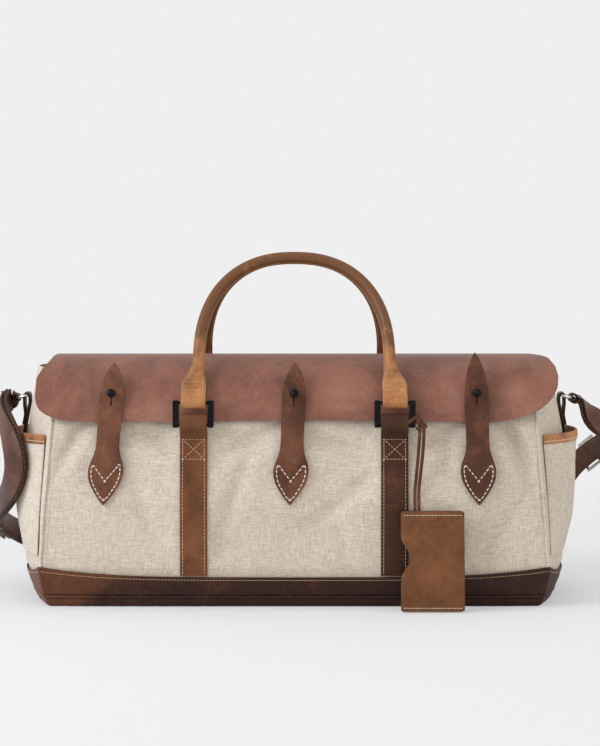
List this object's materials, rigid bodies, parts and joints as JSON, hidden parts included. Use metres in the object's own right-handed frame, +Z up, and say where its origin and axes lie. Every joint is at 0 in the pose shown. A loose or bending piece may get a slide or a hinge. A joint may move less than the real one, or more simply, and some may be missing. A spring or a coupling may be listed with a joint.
{
  "type": "duffel bag",
  "caption": "Soft canvas duffel bag with a leather base, a full-width leather flap closed by stud tabs, rolled handles, end pockets, a luggage tag and a shoulder strap.",
  "frame": {"origin": "centre of the footprint, on the surface the bag stands on", "axes": "+X along the bag to its right end seen from the front, -Y out of the front with the studs, +Z up"},
  "size_m": [0.677, 0.3238, 0.3661],
  "materials": {
    "canvas": "plain-woven linen canvas",
    "lining": "plain cotton lining",
    "base_leather": "waxed vegetable-tanned hide",
    "flap_leather": "smooth vegetable-tanned hide",
    "strap_leather": "vegetable-tanned strap leather",
    "tab_leather": "vegetable-tanned bridle leather",
    "handle_leather": "natural rolled leather",
    "tag_leather": "waxed pull-up leather",
    "sling_leather": "oiled bridle leather",
    "black_metal": "blackened steel, satin",
    "nickel": "nickel-plated steel",
    "rope": "twisted cotton rope",
    "board": "pressed fibre board"
  },
  "bodies": {
    "bag": {"front_panel": "canvas", "back_panel": "canvas", "gusset_left": "canvas", "gusset_right": "canvas", "lining": "lining", "base_panel": "base_leather", "base_board": "board", "base_piping": "base_leather", "base_band_front": "base_leather", "base_band_back": "base_leather", "base_band_left": "base_leather", "base_band_right": "base_leather", "end_pocket_left": "canvas", "end_pocket_right": "canvas", "pocket_binding_left": "handle_leather", "pocket_binding_right": "handle_leather", "strap_front_left": "strap_leather", "strap_front_right": "strap_leather", "strap_back_left": "strap_leather", "strap_back_right": "strap_leather", "flap_yoke": "flap_leather", "tab_leaf_left": "tab_leather", "tab_leaf_middle": "tab_leather", "tab_leaf_right": "tab_leather", "chape_left": "sling_leather", "chape_right": "sling_leather", "sling_ring_left": "nickel", "sling_ring_right": "nickel", "shoulder_strap": "sling_leather", "strap_buckle_left": "nickel", "strap_buckle_right": "nickel"},
    "flap": {"flap": "flap_leather", "stud_left": "black_metal", "stud_middle": "black_metal", "stud_right": "black_metal"},
    "closure_tab_left": {"tab_left": "tab_leather"},
    "closure_tab_middle": {"tab_middle": "tab_leather"},
    "closure_tab_right": {"tab_right": "tab_leather"},
    "front_rings": {"rings_front": "black_metal"},
    "front_handle": {"handle_front": "handle_leather", "handle_core_front": "rope"},
    "back_rings": {"rings_back": "black_metal"},
    "back_handle": {"handle_back": "handle_leather", "handle_core_back": "rope"},
    "luggage_tag": {"tag_holder": "tag_leather", "tag_lace": "tag_leather"}
  },
  "joints": [
    {"name": "flap_open", "type": "hinge", "parent": "bag", "child": "flap", "pos_m": [0, 0.086, 0.249], "axis": [1, 0, 0], "range_deg": [-100, 0]},
    {"name": "tab_left_lift", "type": "hinge", "parent": "bag", "child": "closure_tab_left", "pos_m": [-0.187, -0.1201, 0.1523], "axis": [1, 0, 0], "range_deg": [0, 140.1], "deforming": ["tab_left"]},
    {"name": "tab_middle_lift", "type": "hinge", "parent": "bag", "child": "closure_tab_middle", "pos_m": [0, -0.1201, 0.1523], "axis": [1, 0, 0], "range_deg": [0, 140.1], "deforming": ["tab_middle"]},
    {"name": "tab_right_lift", "type": "hinge", "parent": "bag", "child": "closure_tab_right", "pos_m": [0.187, -0.1201, 0.1523], "axis": [1, 0, 0], "range_deg": [0, 140.1], "deforming": ["tab_right"]},
    {"name": "front_rings_swing", "type": "hinge", "parent": "bag", "child": "front_rings", "pos_m": [0, -0.1225, 0.189], "axis": [1, 0, 0], "range_deg": [0, 135.1]},
    {"name": "front_handle_swing", "type": "hinge", "parent": "front_rings", "child": "front_handle", "pos_m": [0, -0.1225, 0.212], "axis": [1, 0, 0], "range_deg": [0, 50.1]},
    {"name": "back_rings_swing", "type": "hinge", "parent": "bag", "child": "back_rings", "pos_m": [0, 0.1225, 0.189], "axis": [1, 0, 0], "range_deg": [-120.1, 0]},
    {"name": "back_handle_swing", "type": "hinge", "parent": "back_rings", "child": "back_handle", "pos_m": [0, 0.1225, 0.212], "axis": [1, 0, 0], "range_deg": [-45, 0]},
    {"name": "tag_swing", "type": "hinge", "parent": "bag", "child": "luggage_tag", "pos_m": [0.13, -0.124, 0.19], "axis": [1, 0, 0], "range_deg": [-80, 0]}
  ],
  "couplings": [
    {"joint": "tab_left_lift", "follows": "flap_open", "ratio": -1.4},
    {"joint": "tab_middle_lift", "follows": "flap_open", "ratio": -1.4},
    {"joint": "tab_right_lift", "follows": "flap_open", "ratio": -1.4},
    {"joint": "front_rings_swing", "follows": "flap_open", "ratio": -1.35},
    {"joint": "front_handle_swing", "follows": "flap_open", "ratio": -0.5},
    {"joint": "back_rings_swing", "follows": "flap_open", "ratio": 1.2}
  ]
}
